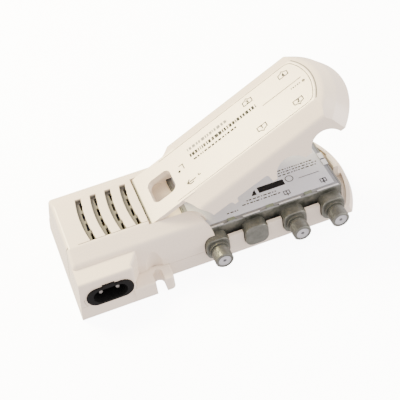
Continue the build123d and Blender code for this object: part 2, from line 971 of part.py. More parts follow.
def make_transformer_bobbin():
    """The bobbin: a tube between two flanges, on four stand-off feet."""
    z0 = power_board_top + transformer_stand
    z1 = z0 + transformer_height
    hl = transformer_length / 2
    hw = transformer_width / 2 - transformer_core - transformer_gap
    x = transformer_x
    y = transformer_y
    post_half = transformer_core / 2 + transformer_gap
    tube_half = post_half + transformer_flange
    low = z0 + transformer_core + transformer_gap
    high = z1 - transformer_core - transformer_gap
    tube = block(x - tube_half, x + tube_half, y - tube_half, y + tube_half, low, high)
    lower = block(x - hl, x + hl, y - hw, y + hw, low, low + transformer_flange)
    upper = block(x - hl, x + hl, y - hw, y + hw, high - transformer_flange, high)
    bobbin = tube + lower + upper
    bobbin -= block(x - post_half, x + post_half, y - post_half, y + post_half, low, high)
    for sx in (-1, 1):
        foot_x = x + sx * (hl - transformer_flange)
        for sy in (-1, 1):
            foot_y = y + sy * (hw - transformer_flange)
            half = transformer_flange
            bobbin += block(foot_x - half, foot_x + half, foot_y - half, foot_y + half,
                            power_board_top, low)
    return bobbin


def make_transformer_core():
    """The ferrite core: an outer frame and a centre leg through the bobbin."""
    z0 = power_board_top + transformer_stand
    z1 = z0 + transformer_height
    hc = transformer_core / 2
    hw = transformer_width / 2
    x = transformer_x
    y = transformer_y
    frame = block(x - hc, x + hc, y - hw, y + hw, z0, z1)
    window_half = hw - transformer_core
    frame -= block(x - hc, x + hc, y - window_half, y + window_half,
                   z0 + transformer_core, z1 - transformer_core)
    leg = block(x - hc, x + hc, y - hc, y + hc, z0, z1)
    return frame + leg


def make_transformer_winding():
    """The taped winding between the bobbin's flanges."""
    z0 = power_board_top + transformer_stand + transformer_core + transformer_gap
    z1 = z0 + transformer_height - (transformer_core + transformer_gap) * 2
    low = z0 + transformer_flange
    high = z1 - transformer_flange
    hl = transformer_length / 2 - winding_inset
    hw = transformer_width / 2 - transformer_core - transformer_gap
    tube_half = transformer_core / 2 + transformer_gap + transformer_flange
    x = transformer_x
    y = transformer_y
    outer = block(x - hl, x + hl, y - hw, y + hw, low, high)
    outer = fillet(outer.edges().filter_by(Axis.Z), winding_inset)
    return outer - block(x - tube_half, x + tube_half, y - tube_half, y + tube_half, low, high)


def make_dc_lead():
    """The lead from the power board to the feedthrough on the chassis."""
    start_z = power_board_top
    end_x = chassis_start - feed_length
    points = [
        (dc_board_x, dc_lead_y, start_z),
        (dc_board_x, dc_lead_y, dc_lead_height),
        (end_x, dc_lead_y, dc_lead_height),
    ]
    return bent_lead(points, dc_lead_bend, dc_lead_radius)


def make_feedthrough():
    """The insulated bush that takes the lead into the chassis."""
    lying = Rot(0, 90, 0) * Cylinder(feed_radius, feed_length, align=UPRIGHT)
    bush = Pos(chassis_start - feed_length, dc_lead_y, dc_lead_height) * lying
    stem = Rot(0, 90, 0) * Cylinder(feed_radius / 2, chassis_wall * 2, align=UPRIGHT)
    return bush + Pos(chassis_start, dc_lead_y, dc_lead_height) * stem


def connector_places():
    """Each place in x and side along the chassis, with whether it is an outlet."""
    places = []
    for x, kind in zip(connector_xs, connector_kinds):
        places.append((x, -1, kind in ("front", "both")))
        places.append((x, 1, kind == "both"))
    return places


def outlet_places():
    """Each outlet as its place in x and the side it points to."""
    return [(x, side) for x, side, is_outlet in connector_places() if is_outlet]


def between(side, y0, y1):
    """Two distances from the middle, as an ordered pair on one side."""
    return min(side * y0, side * y1), max(side * y0, side * y1)


def make_chassis():
    """The die-cast box with its posts, ridges and stakes, bored for the connectors."""
    half = chassis_half_width
    body = block(chassis_start, chassis_end, -half, half, chassis_base, chassis_height - rim_step)
    body = chamfer(body.edges().filter_by(Axis.X).group_by(Axis.Z)[-1], chassis_edge)
    body -= block(chassis_start + chassis_wall, chassis_end - chassis_wall, -half + chassis_wall,
                  half - chassis_wall, chassis_inside, case_height)
    ledge = chassis_wall - rim_ledge
    body -= block(chassis_start + ledge, chassis_end - ledge, -half + ledge, half - ledge,
                  shield_base, case_height)
    for x, y in chassis_posts():
        body += post(x, y, chassis_base, board_top - board_thickness, post_radius)
    for x in connector_xs:
        body -= rod(x, connector_height, -half, -half + chassis_wall, neck_radius + insulator_fit)
        body -= rod(x, connector_height, half - chassis_wall, half, neck_radius + insulator_fit)
    for x, y in chassis_screw_places():
        top = screw_seat + chassis_screw_length + fit_gap
        body -= post(x, y, 0, top, screw_radius + screw_clearance)
    tongue = block(chassis_start - overrun, chassis_start + chassis_wall * 2,
                   -tongue_half_width - fit_gap, tongue_half_width + fit_gap,
                   board_top - board_thickness - fit_gap, board_top + fit_gap)
    body -= tongue
    feed = Rot(0, 90, 0) * Cylinder(feed_radius / 2, chassis_wall * 2, align=UPRIGHT)
    body -= Pos(chassis_start, dc_lead_y, dc_lead_height) * feed
    return body + ridges() + stakes()


def boss(x, side):
    """A square boss on the chassis wall, with a round spigot through the wall."""
    y0, y1 = between(side, chassis_half_width, boss_face)
    block_part = side_plate(Pos(x, connector_height) * boss_outline(0), y0, y1)
    edges = block_part.edges().group_by(Axis.Y)[0 if side < 0 else -1]
    y0, y1 = between(side, chassis_half_width - chassis_wall, boss_face)
    return fillet(edges, chassis_edge) + rod(x, connector_height, y0, y1, neck_radius)


def barrel(x, side):
    """A boss with the outlet's barrel, collar and neck, bored for the insulator."""
    y0, y1 = between(side, boss_face, collar_end)
    solid = boss(x, side) + rod(x, connector_height, y0, y1, collar_radius)
    y0, y1 = between(side, boss_face, barrel_start)
    solid += rod(x, connector_height, y0, y1, neck_radius)
    y0, y1 = between(side, barrel_start, barrel_tip)
    thread = rod(x, connector_height, y0, y1, barrel_radius)
    solid += chamfer(thread.edges().filter_by(GeomType.CIRCLE), barrel_chamfer)
    y0, y1 = between(side, 0, barrel_tip + overrun)
    return solid - rod(x, connector_height, y0, y1, barrel_bore_radius)


def make_barrels():
    """The outlets' barrels, one for each outlet."""
    group = Part()
    for x, side in outlet_places():
        group += barrel(x, side)
    return group


def make_blank_bosses():
    """The closed bosses at the places without an outlet."""
    group = Part()
    for x, side, is_outlet in connector_places():
        if not is_outlet:
            group += boss(x, side)
    return group


def ridges():
    """Raised strips on the front and back top edges of the chassis."""
    z0 = chassis_height - rim_step - chassis_edge
    inner = chassis_half_width - chassis_wall + rim_ledge
    both = Part()
    for x, kind in zip(connector_xs, connector_kinds):
        half = blank_ridge_half_length if kind == "blank" else ridge_half_length
        for side in (-1, 1):
            y0, y1 = between(side, inner, chassis_half_width - ridge_inset)
            both += block(x - half, x + half, y0, y1, z0, chassis_height)
    return both


def stakes():
    """Metal pressed over the shield's edge, on the long sides and the latch end."""
    z0 = chassis_height - rim_step
    edge = chassis_half_width - chassis_edge
    inner = chassis_half_width - chassis_wall - stake_overlap
    all_stakes = Part()
    for x in [x + connector_pitch / 2 for x in connector_xs[:-1]]:
        for side in (-1, 1):
            y0, y1 = between(side, inner, edge)
            all_stakes += block(x - stake_length / 2, x + stake_length / 2, y0, y1, z0,
                                chassis_height)
    for y in stake_end_ys:
        all_stakes += block(chassis_end - chassis_wall - stake_overlap, chassis_end,
                            y - stake_length / 2, y + stake_length / 2, z0, chassis_height)
    return all_stakes


def make_shield():
    """The sheet that closes the chassis, seated on its ledge."""
    ledge = chassis_wall - rim_ledge + rest_gap
    half = chassis_half_width - ledge
    x0 = chassis_start + ledge
    x1 = chassis_end - ledge
    return block(x0, x1, -half, half, shield_base, shield_base + shield_thickness)


def make_label():
    """The thin label on the shield."""
    half = chassis_half_width - label_margin
    z = shield_base + shield_thickness
    return block(chassis_start + label_margin, chassis_end - label_margin, -half, half, z,
                 z + label_thickness)


def make_insulators():
    """The white insulators in the barrels."""
    discs = Part()
    radius = barrel_bore_radius - insulator_fit
    for x, side in outlet_places():
        y0, y1 = between(side, chassis_half_width - chassis_wall, barrel_tip - insulator_recess)
        disc = rod(x, connector_height, y0, y1, radius)
        disc -= rod(x, connector_height, y0, y1, contact_radius)
        tip = barrel_tip - insulator_recess
        h0, h1 = between(side, tip - socket_hole_depth, tip + insulator_recess)
        disc -= rod(x, connector_height, h0, h1, socket_hole_radius)
        discs += disc
    return discs


def make_contacts():
    """The centre contacts, from inside the insulators to the amplifier board."""
    rods = Part()
    tip = barrel_tip - insulator_recess - socket_hole_depth
    for x, side in outlet_places():
        y0, y1 = between(side, chassis_half_width - chassis_wall - contact_reach, tip)
        rods += rod(x, connector_height, y0, y1, contact_radius)
    return rods


def make_amplifier_board():
    """The board inside the chassis, with a tongue that carries the gain control."""
    inside = chassis_half_width - chassis_wall - board_margin
    z0 = board_top - board_thickness
    x0 = chassis_start + chassis_wall + board_margin
    x1 = chassis_end - chassis_wall - board_margin
    board = block(x0, x1, -inside, inside, z0, board_top)
    tongue = block(tongue_start, x0, -tongue_half_width, tongue_half_width, z0, board_top)
    return board + tongue


def make_choke():
    """The supply choke, wound between two flanges."""
    z0 = board_top
    z1 = z0 + choke_height
    x = chassis_start + choke_place
    drum = post(x, 0, z0, z1, choke_radius * choke_drum_share)
    drum += post(x, 0, z0, z0 + choke_flange, choke_radius)
    return drum + post(x, 0, z1 - choke_flange, z1, choke_radius)


def make_splitter_cores():
    """The two-hole ferrite cores that share the signal between the outlets."""
    cores = Part()
    for x in [chassis_start + place for place in core_places]:
        core = on_board((core_width, core_length, core_height), x, 0, board_top)
        core = fillet(core.edges().filter_by(Axis.Y), core_height * core_round_share)
        z = board_top + core_height / 2
        for side in (-1, 1):
            bore_x = x + side * core_bore_pitch / 2
            core -= rod(bore_x, z, -core_length, core_length, core_bore_radius)
        cores += core
    return cores


def make_chip_capacitors():
    """Small surface parts beside the cores."""
    parts = Part()
    for x in [chassis_start + place for place in chip_capacitor_places]:
        for side in (-1, 1):
            parts += on_board(chip_capacitor_size, x, side * chip_capacitor_y, board_top)
    return parts


def make_gain_body():
    """The body of the gain control, under the lid's window."""
    body = on_board((gain_width, gain_width, gain_height), gain_x, 0, board_top)
    body = chamfer(body.edges().filter_by(Axis.Z), gain_bevel)
    top = board_top + gain_height
    depth = top - rotor_shaft_length - rotor_running_gap
    return body - post(gain_x, 0, depth, case_height, rotor_shaft_radius + rotor_running_gap)


def make_gain_rotor():
    """The slotted rotor that sets the gain."""
    top = board_top + gain_height
    shaft = post(gain_x, 0, top - rotor_shaft_length, top + rotor_lift, rotor_shaft_radius)
    z0 = top + rotor_lift
    z1 = z0 + rotor_thickness
    head = post(gain_x, 0, z0, z1, rotor_radius)
    head = fillet(head.edges().group_by(Axis.Z)[-1], rotor_lift)
    half = rotor_slot_width / 2
    head -= block(gain_x - half, gain_x + half, -rotor_radius, rotor_radius,
                  z1 - rotor_slot_depth, z1)
    return head + shaft


def screws(places, length):
    """Slotted screws that enter from below."""
    group = Part()
    for x, y in places:
        screw = post(x, y, screw_seat - screw_head_height, screw_seat, screw_head_radius)
        half = screw_slot_width / 2
        screw -= block(
            x - screw_head_radius, x + screw_head_radius, y - half, y + half,
            0, screw_seat - screw_head_height + screw_slot_depth
        )
        screw += post(x, y, screw_seat, screw_seat + length, screw_radius)
        group += screw
    return group


def write(name, shape):
    """Move a finished piece to the part's own origin and write its file."""
    export_step(Pos(-origin_x, 0, 0) * shape, "parts/" + name + ".step")


os.makedirs("parts", exist_ok=True)
write("base_shell", make_base_shell())
write("power_cover", make_power_cover())
write("lid", opened(make_lid()))
write("hinge_pin", make_hinge_pin())
write("mains_inlet", make_mains_inlet())
write("inlet_pins", make_inlet_pins())
write("inlet_leads", make_inlet_leads())
write("power_board", make_power_board())
write("fuse_glass", make_fuse_glass())
write("fuse_caps", make_fuse_caps())
write("suppressor", make_suppressor())
write("bridge_rectifier", make_bridge())
write("bulk_capacitor", can_capacitor(bulk_x, bulk_y, bulk_radius, bulk_height))
write("control_chip", on_board(control_chip_size, control_chip_x, control_chip_y, power_board_top))
write("transformer_bobbin", make_transformer_bobbin())
write("transformer_core", make_transformer_core())
write("transformer_winding", make_transformer_winding())
write("output_capacitors", make_output_capacitors())
write("dc_lead", make_dc_lead())
write("feedthrough", make_feedthrough())
write("amplifier_chassis", make_chassis())
write("outlet_barrels", make_barrels())
write("blank_bosses", make_blank_bosses())
write("shield_cover", make_shield())
write("chassis_label", make_label())
write("connector_insulators", make_insulators())
write("centre_contacts", make_contacts())
write("amplifier_board", make_amplifier_board())
write("amplifier_chip", on_board(chip_size, chassis_start + chip_place, 0, board_top))
write("supply_choke", make_choke())
write("splitter_cores", make_splitter_cores())
write("chip_capacitors", make_chip_capacitors())
write("gain_body", make_gain_body())
write("gain_rotor", make_gain_rotor())
write("cover_screws", screws(cover_post_places, cover_screw_length))
write("chassis_screws", screws(chassis_screw_places(), chassis_screw_length))
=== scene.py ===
# %% [markdown]
# # A television signal amplifier
#
# The object is an ivory moulded case with a hinged lid. The mains section is
# at one end, under four curved vents, and a cast metal box with threaded
# outlets fills the rest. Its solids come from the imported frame, already at
# their real size and in their real place, so this file only dresses them:
# finishes, prints, labels, small trim, light and a camera. Everything is in
# metres, and MM turns a size in millimetres into metres.

# %% Load the frame
from random import Random
from math import cos, pi, radians, sin

import bmesh
import bpy
from mathutils import Matrix, Vector


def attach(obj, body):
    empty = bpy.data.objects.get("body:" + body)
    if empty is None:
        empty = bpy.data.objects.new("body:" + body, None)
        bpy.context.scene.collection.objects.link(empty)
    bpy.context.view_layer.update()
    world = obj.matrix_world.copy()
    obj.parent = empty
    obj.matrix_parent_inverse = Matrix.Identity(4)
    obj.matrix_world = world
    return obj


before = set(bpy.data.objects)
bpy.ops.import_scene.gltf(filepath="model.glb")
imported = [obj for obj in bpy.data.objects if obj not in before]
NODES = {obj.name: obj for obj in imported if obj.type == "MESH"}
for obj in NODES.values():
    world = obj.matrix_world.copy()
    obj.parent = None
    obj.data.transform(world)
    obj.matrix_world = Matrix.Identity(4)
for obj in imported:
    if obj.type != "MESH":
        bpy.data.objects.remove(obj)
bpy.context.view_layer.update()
MM = 0.001

# %% [markdown]
# The frame's x starts at the middle of the case. It is easier to read the
# object from its mains inlet end, as its drawing does, so one small function
# turns such a place into the frame's metres. The lid is stored open. Whatever
# is made for the lid is drawn on the closed lid and then turned about the
# hinge, so its sizes stay easy to read.

# %% Places on the case and on the lid
CASE_LENGTH = 156.0
CASE_HEIGHT = 28.0
HINGE_X = 49.2
HINGE_HEIGHT = 25.6
LID_OPEN = radians(26.8)


def place(x, y, z):
    """A place counted in millimetres from the inlet end, in the frame's metres."""
    return Vector(((x - CASE_LENGTH / 2) * MM, y * MM, z * MM))


hinge = place(HINGE_X, 0, HINGE_HEIGHT)
open_turn = (
    Matrix.Translation(hinge) @ Matrix.Rotation(-LID_OPEN, 4, "Y") @ Matrix.Translation(-hinge)
)
print("hinge at", [round(v, 4) for v in hinge])

# %% [markdown]
# The camera is set the way a photographer would note it down: where it
# stands, which way it looks, how it is tilted, and its lens. The photograph
# looks down at the front from the inlet end, and the camera is rolled a
# little, so that the case climbs to the right.

# %% Camera
CAMERA_PLACE = Vector((-0.0854, -0.3546, 0.3921))
CAMERA_AZIMUTH = radians(-13.23)
CAMERA_ELEVATION = radians(46.05)
CAMERA_ROLL = radians(-9.21)
CAMERA_LENS = 92.38
SENSOR_WIDTH = 36.0


def make_camera():
    """A camera from its place, its two angles, its roll and its lens."""
    data = bpy.data.cameras.new("camera")
    data.lens = CAMERA_LENS
    data.sensor_width = SENSOR_WIDTH
    camera = bpy.data.objects.new("camera", data)
    bpy.context.scene.collection.objects.link(camera)
    turn = Matrix.Rotation(CAMERA_AZIMUTH, 4, "Z")
    tilt = Matrix.Rotation(pi / 2 - CAMERA_ELEVATION, 4, "X")
    roll = Matrix.Rotation(CAMERA_ROLL, 4, "Z")
    camera.matrix_world = Matrix.Translation(CAMERA_PLACE) @ turn @ tilt @ roll
    bpy.context.scene.camera = camera
    return camera


camera = make_camera()
looks_along = camera.matrix_world.to_3x3() @ Vector((0, 0, -1))
print("camera looks along", [round(v, 3) for v in looks_along])

# %% [markdown]
# A product photograph on white paper has light from everywhere. A bright
# world does most of it. A warm soft lamp, high behind the left end, makes the
# tops brighter and more yellow than the fronts. Two weak lamps lift the left
# end and the lid's nose.

# %% Light
WORLD_STRENGTH = 2.0
WORLD_COLOUR = (0.89, 0.81, 0.825)
LAMPS = (
    # name, place in metres, side in metres, watts, colour
    ("key_lamp", (-0.36, 0.52, 0.62), 0.3, 26.0, (1.0, 0.86, 0.47)),
    ("left_lamp", (-0.85, -0.02, 0.3), 0.4, 7.0, (1.0, 0.89, 0.70)),
    ("right_lamp", (0.8, -0.2, 0.35), 0.4, 8.0, (0.97, 0.88, 0.82)),
)


def make_world():
    """An even white surround."""
    world = bpy.data.worlds.new("studio")
    world.use_nodes = True
    background = world.node_tree.nodes["Background"]
    background.inputs["Color"].default_value = (*WORLD_COLOUR, 1.0)
    background.inputs["Strength"].default_value = WORLD_STRENGTH
    bpy.context.scene.world = world


def make_lamp(name, place_m, side_m, watts, colour):
    """A square soft lamp that points at the middle of the case."""
    data = bpy.data.lights.new(name, "AREA")
    data.size = side_m
    data.energy = watts
    data.color = colour
    lamp = bpy.data.objects.new(name, data)
    bpy.context.scene.collection.objects.link(lamp)
    direction = -Vector(place_m)
    lamp.rotation_euler = direction.to_track_quat("-Z", "Y").to_euler()
    lamp.location = place_m


make_world()
for row in LAMPS:
    make_lamp(*row)

# %% [markdown]
# Every finish is made of shader nodes. Node maths is hard to read when each
# node is added and linked by hand, so a small class wraps a socket: adding two
# wrapped sockets adds an Add node, and so on, and the reflected forms take a
# plain number on the left. A second class holds one material and has one
# method that adds any other node.

# %% Shader maths
class Wire:
    """A shader value that can be used in an expression."""

    def __init__(self, finish, socket):
        self.finish = finish
        self.socket = socket

    def math(self, operation, *others):
        """One Math node with this value first."""
        values = {0: self, **{i + 1: other for i, other in enumerate(others)}}
        made = self.finish.node("ShaderNodeMath", {"operation": operation}, values)
        return Wire(self.finish, made.outputs[0])

    def __add__(self, other):
        return self.math("ADD", other)

    def __sub__(self, other):
        return self.math("SUBTRACT", other)

    def __mul__(self, other):
        return self.math("MULTIPLY", other)

    def __truediv__(self, other):
        return self.math("DIVIDE", other)

    def __radd__(self, other):
        return self.math("ADD", other)

    def __rmul__(self, other):
        return self.math("MULTIPLY", other)

    def __rsub__(self, other):
        return (self * -1.0) + other

    def __abs__(self):
        return self.math("ABSOLUTE")

    def below(self, limit):
        """1 where this value is less than the limit."""
        return self.math("LESS_THAN", limit)

    def above(self, limit):
        """1 where this value is more than the limit."""
        return self.math("GREATER_THAN", limit)

    def larger(self, other):
        """The larger of two values."""
        return self.math("MAXIMUM", other)

    def ramp(self, low, high, start=0.0, end=1.0):
        """Rises smoothly from start to end while this value goes from low to high."""
        values = {"Value": self, "From Min": low, "From Max": high, "To Min": start, "To Max": end}
        settings = {"interpolation_type": "SMOOTHSTEP"}
        made = self.finish.node("ShaderNodeMapRange", settings, values)
        return Wire(self.finish, made.outputs["Result"])


class Finish:
    """One material and its nodes."""

    def __init__(self, name, colour, roughness, metallic=0.0):
        self.material = bpy.data.materials.new(name)
        self.material.use_nodes = True
        self.tree = self.material.node_tree
        self.shader = self.tree.nodes["Principled BSDF"]
        self.shader.inputs["Base Color"].default_value = (*colour, 1.0)
        self.shader.inputs["Roughness"].default_value = roughness
        self.shader.inputs["Metallic"].default_value = metallic

    def feed(self, socket, value):
        """Give a socket a link or a plain value."""
        if isinstance(value, Wire):
            self.tree.links.new(value.socket, socket)
        elif isinstance(value, bpy.types.NodeSocket):
            self.tree.links.new(value, socket)
        elif isinstance(value, tuple) and len(value) == 3 and socket.type == "RGBA":
            socket.default_value = (*value, 1.0)
        else:
            socket.default_value = value

    def node(self, kind, settings=None, sockets=None):
        """Any node: its settings first, then the values or links of its sockets."""
        made = self.tree.nodes.new(kind)
        for key, value in (settings or {}).items():
            setattr(made, key, value)
        for key, value in (sockets or {}).items():
            self.feed(made.inputs[key], value)
        return made

    def millimetres(self):
        """The object's own coordinates, in millimetres."""
        own = self.node("ShaderNodeTexCoord").outputs["Object"]
        settings = {"operation": "SCALE"}
        made = self.node("ShaderNodeVectorMath", settings, {0: own, "Scale": 1 / MM})
        return made.outputs[0]

    def axes(self, vector):
        """The three numbers of a vector."""
        parts = self.node("ShaderNodeSeparateXYZ", None, {0: vector})
        return [Wire(self, parts.outputs[i]) for i in range(3)]

    def noise(self, vector, per_mm, detail=2.0, rough=0.5):
        """Soft random variation with a given number of lumps per millimetre."""
        values = {"Vector": vector, "Scale": per_mm, "Detail": detail, "Roughness": rough}
        return Wire(self, self.node("ShaderNodeTexNoise", None, values).outputs["Fac"])

    def mix(self, amount, first, second):
        """One colour where amount is 0 and another where it is 1."""
        settings = {"data_type": "RGBA"}
        made = self.node("ShaderNodeMix", settings, {"Factor": amount})
        self.feed(made.inputs[6], first)
        self.feed(made.inputs[7], second)
        return made.outputs[2]

    def bump(self, height, distance_mm, strength=1.0):
        """Small relief: the height is 0 to 1, the distance is its full depth."""
        values = {"Height": height, "Distance": distance_mm * MM, "Strength": strength}
        made = self.node("ShaderNodeBump", None, values)
        self.feed(self.shader.inputs["Normal"], made.outputs["Normal"])

    def use(self, **inputs):
        """Set inputs of the main shader, with underscores for spaces."""
        for key, value in inputs.items():
            self.feed(self.shader.inputs[key.replace("_", " ")], value)


def dress(finish, *names):
    """Give CAD nodes a finish in all their material slots."""
    for name in names:
        slots = NODES[name].data.materials
        for i in range(len(slots)):
            slots[i] = finish.material
        if not len(slots):
            slots.append(finish.material)


print("shader helpers ready")

# %% [markdown]
# The floor is a sheet of white paper. It is stage, not part of the object,
# and it gets a very faint fibre so that it isn't a flat colour. It glows, so
# that it comes out white, but it is hidden from reflected light and so
# doesn't wash out the case.

# %% Floor
FLOOR_REACH = 3.0
FLOOR_DROP = 0.2 * MM
FLOOR_GLOW = 9.0


def make_floor():
    """A large pale sheet under the case."""
    mesh = bpy.data.meshes.new("floor")
    a = FLOOR_REACH
    corners = [(-a, -a, 0), (a, -a, 0), (a, a, 0), (-a, a, 0)]
    mesh.from_pydata(corners, [], [(0, 1, 2, 3)])
    floor = bpy.data.objects.new("floor", mesh)
    bpy.context.scene.collection.objects.link(floor)
    floor.location.z = -FLOOR_DROP
    paper = Finish("paper", (0.95, 0.95, 0.95), 0.9)
    grain = paper.noise(paper.millimetres(), 0.5)
    paper.use(Base_Color=paper.mix(grain, (0.93, 0.93, 0.93), (0.95, 0.95, 0.95)))
    paper.use(Emission_Color=(1.0, 1.0, 1.0), Emission_Strength=FLOOR_GLOW)
    mesh.materials.append(paper.material)
    floor.visible_diffuse = False
    floor.visible_glossy = False


make_floor()
print("floor laid")

# %% [markdown]
# The case is moulded in ivory plastic. Such plastic isn't one colour: it is
# a little warmer where it is thick, and its skin has a fine spark-eroded
# grain from the mould, which makes the gloss soft. The colour varies slowly
# over centimetres, and the grain is a bump two hundredths of a millimetre
# deep. Where a mask of painted shade lies, in recesses and grooves, the skin
# is painted darker and has no gloss. The upright sides look cooler than the
# tops in the photograph, which comes from the light and not from the
# plastic, so both get the same colour here.

# %% Ivory plastic
IVORY = (0.80, 0.70, 0.56)
IVORY_COOL = (0.775, 0.685, 0.555)
# painted shade: the dark colour that recesses and grooves are painted with
PAINTED_SHADE = (0.135, 0.134, 0.115)
# painted shade: the near-black colour of the seam at the lid's tail
SEAM_SHADE = (0.026, 0.028, 0.027)
SHADE_ROUGHNESS = 0.95


class Ivory(Finish):
    """The moulded plastic, with its slow variation and its grain."""

    def __init__(self, name):
        super().__init__(name, IVORY, 0.3)
        self.where = self.millimetres()
        slow = self.noise(self.where, 0.03)
        self.base = self.mix(slow.ramp(0.35, 0.65), IVORY, IVORY_COOL)
        self.grain = self.noise(self.where, 2.2, 3.0)

    def done(self, shade_mask=None):
        """Close the finish, with painted shade where the mask is 1."""
        colour = self.base
        gloss = self.grain.ramp(0.3, 0.7, 0.25, 0.35)
        if shade_mask is not None:
            # painted shade: the colour goes dark and the gloss goes matt where the mask is 1
            colour = self.mix(shade_mask, colour, PAINTED_SHADE)
            gloss = gloss.larger(shade_mask * SHADE_ROUGHNESS)
        self.use(Base_Color=colour, Roughness=gloss)
        self.bump(self.grain, 0.02, 0.5)


base_ivory = Ivory("ivory_base")
base_ivory.done()
dress(base_ivory, "base_shell")
print("ivory on the base")

# %% [markdown]
# The cover has four sunk vents, and a fine groove joins their near ends. The
# floors and walls of the vents and the floor of the groove lie in shade, and
# that shade is painted into their colour, so they are darker than the skin
# around them. A mask could be painted by hand, but one that follows from
# the drawing's numbers stays in its place: how deep a point lies under the
# top, and where it is in plan.

# %% Painted shade in the cover's vents
VENT_FIRST_X = 15.8
VENT_LAST_X = 39.2
VENT_HALF_LENGTH = 14.7
VENT_MARGIN = 4.0
# how strong the painted shade in the vents is
VENT_SHADE = 0.95
GROOVE_DEPTH = 0.3
GROOVE_WIDTH = 0.4
NEAR = 0.1


def in_groove(under):
    """1 at the floor of a fine groove, from the depth under the top."""
    return under.ramp(NEAR, GROOVE_DEPTH - 0.05)


def cover_finish():
    """Ivory with painted shade in the vents and in the groove beside them."""
    cover = Ivory("ivory_cover")
    x, y, z = cover.axes(cover.where)
    x = x + CASE_LENGTH / 2
    under = CASE_HEIGHT - z
    # painted shade: dark colour on the vents' floors and walls and on the groove's floor
    vents = under.ramp(NEAR, 1.6) * abs(y).below(VENT_HALF_LENGTH + NEAR) * under.below(4.0)
    vents = vents * x.above(VENT_FIRST_X - VENT_MARGIN) * x.below(VENT_LAST_X + VENT_MARGIN)
    groove_y = -VENT_HALF_LENGTH - GROOVE_WIDTH / 2
    groove = in_groove(under) * abs(y - groove_y).below(GROOVE_WIDTH)
    cover.done(vents * VENT_SHADE + groove)
    return cover


dress(cover_finish(), "power_cover")
print("painted shade in the vents")

# %% [markdown]
# The lid has a flat field, framed by a fine groove with a rounded end, and
# the same painted shade lies in it. The edge at the lid's tail, where it
# meets the cover, is painted nearly black as the shade of that seam. The lid
# is stored open, so the shader first turns each point back to the closed
# lid, with the same angle and hinge as before.

# %% Painted shade in the lid's groove and at its tail
TAIL_X = 46.95
# where the painted shade of the seam fades out behind the lid's tail
SEAM_SHADE_START = 0.3
SEAM_SHADE_END = 0.9
FIELD_START = 64.0
FIELD_HALF_WIDTH = 15.3


def closed_axes(finish, where):
    """A point of the open lid as x, y and z on the closed lid."""
    x, y, z = finish.axes(where)
    across = x + (CASE_LENGTH / 2 - HINGE_X)
    up = z - HINGE_HEIGHT
    turned_x = across * cos(LID_OPEN) + up * sin(LID_OPEN) + HINGE_X
    turned_z = up * cos(LID_OPEN) - across * sin(LID_OPEN) + HINGE_HEIGHT
    return turned_x, y, turned_z


def lid_finish():
    """Ivory with painted shade in the field's groove and along the tail."""
    lid = Ivory("ivory_lid")
    x, y, z = closed_axes(lid, lid.where)
    under = CASE_HEIGHT - z
    groove = in_groove(under) * under.below(GROOVE_DEPTH + NEAR)
    groove = groove * abs(y).below(FIELD_HALF_WIDTH + NEAR)
    # painted shade: the tail is painted dark where the lid meets the cover
    seam_shade = x.ramp(TAIL_X + SEAM_SHADE_START, TAIL_X + SEAM_SHADE_END, 1.0, 0.0)
    lid.base = lid.mix(seam_shade, lid.base, SEAM_SHADE)
    # painted shade in the field's groove
    lid.done(groove * x.above(FIELD_START))
    return lid


dress(lid_finish(), "lid")
print("painted shade in the groove and at the tail")

# %% [markdown]
# The outlet box is die-cast zinc. A raw casting is dull grey with an olive
# cast, and it has flow marks, darker stains in its corners and a few warm
# spots. A picture of metal would need unwrapping and would repeat, so noise is
# used: large noise gives the stains, fine noise the skin. Its rim is painted
# lighter, as lit from above, and bright strips of painted highlight run along
# it, with a duller, greenish place between two outlets where the cover was
# pressed in.

# %% Cast metal
FIRST_OUTLET_X = 74.3
LAST_OUTLET_X = 136.4
OUTLET_PITCH = 20.7
THREAD_START = 33.6
THREAD_END = 38.9
RIM_BOTTOM = 17.4
RIM_TOP = 18.1
STRIP_BOTTOM = 18.3
STRIP_TOP = 18.6
PRESSED_SHARE = 0.2
ZINC = (0.155, 0.16, 0.137)
ZINC_STAIN = (0.05, 0.056, 0.042)
ZINC_WARM = (0.135, 0.138, 0.104)
ZINC_TURNED = (0.115, 0.118, 0.107)
# painted light on the rim and painted highlight on its strips
ZINC_RIM_LIGHT = (0.34, 0.352, 0.34)
ZINC_STRIP_HIGHLIGHT = (0.80, 0.82, 0.82)
ZINC_PRESSED = (0.12, 0.16, 0.086)


def zinc_rim(zinc, metal, x, z):
    """Painted light on the casting's rim and painted highlight strips along it, and duller pressed
    places.
    """
    rim = z.ramp(RIM_BOTTOM, RIM_TOP)
    strip = z.ramp(STRIP_BOTTOM, STRIP_TOP)
    pitches = (x + CASE_LENGTH / 2 - FIRST_OUTLET_X) / OUTLET_PITCH
    beside = abs(pitches.math("FRACT") - 0.5)
    pressed = strip * beside.below(PRESSED_SHARE) * x.below(LAST_OUTLET_X - CASE_LENGTH / 2)
    # painted light: the rim is made lighter and its strips bright as a highlight
    metal = zinc.mix(rim * 0.5, metal, ZINC_RIM_LIGHT)
    metal = zinc.mix(strip * 0.9, metal, ZINC_STRIP_HIGHLIGHT)
    return zinc.mix(pressed * 0.85, metal, ZINC_PRESSED)


